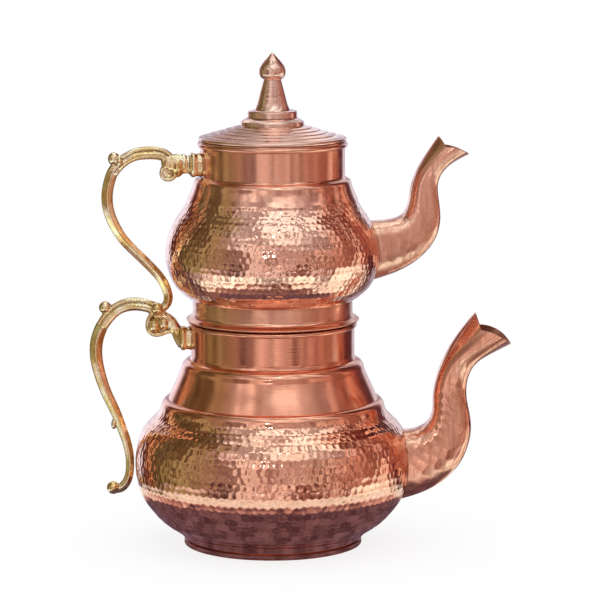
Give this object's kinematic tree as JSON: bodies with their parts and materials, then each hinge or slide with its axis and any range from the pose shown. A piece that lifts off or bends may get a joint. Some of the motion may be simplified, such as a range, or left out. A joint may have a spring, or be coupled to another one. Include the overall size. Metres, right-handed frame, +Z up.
{
  "type": "stacked kettle and teapot",
  "caption": "Stacked hammered copper tea set: spouted kettle with a smaller spouted teapot seated in its mouth, stepped lid with finial, cast brass scroll handles.",
  "frame": {"origin": "centre of the flat underside of the kettle's base, on the table", "axes": "+Z up along the axis of both pots, +X towards the kettle's spout, so the kettle's handle is at -X; the teapot stands turned by 9 degrees about +Z"},
  "size_m": [0.2965, 0.1946, 0.347],
  "materials": {
    "hammered_copper": "satin",
    "smooth_copper": "polished",
    "cast_brass": "satin",
    "steel": "satin"
  },
  "bodies": {
    "kettle": {"kettle_body": "hammered_copper", "kettle_base_plate": "smooth_copper", "kettle_rim_wire": "steel", "kettle_spout": "hammered_copper", "kettle_handle": "cast_brass", "kettle_handle_screw": "steel", "kettle_handle_washer": "steel"},
    "teapot": {"teapot_body": "hammered_copper", "teapot_base_plate": "smooth_copper", "teapot_collar": "smooth_copper", "teapot_rim_wire": "steel", "teapot_spout": "hammered_copper", "teapot_handle": "cast_brass", "teapot_handle_screw": "steel", "teapot_handle_washer": "steel"},
    "lid": {"lid_shell": "smooth_copper", "lid_skirt": "smooth_copper", "lid_rim_wire": "steel", "lid_knob": "smooth_copper", "lid_knob_screw": "steel", "lid_knob_washer": "steel"}
  },
  "joints": [
    {"name": "teapot_lift", "type": "slide", "parent": "kettle", "child": "teapot", "axis": [0, 0, 1], "range_m": [0, 0.14]},
    {"name": "lid_lift", "type": "slide", "parent": "teapot", "child": "lid", "axis": [0, 0, 1], "range_m": [0, 0.07]}
  ]
}
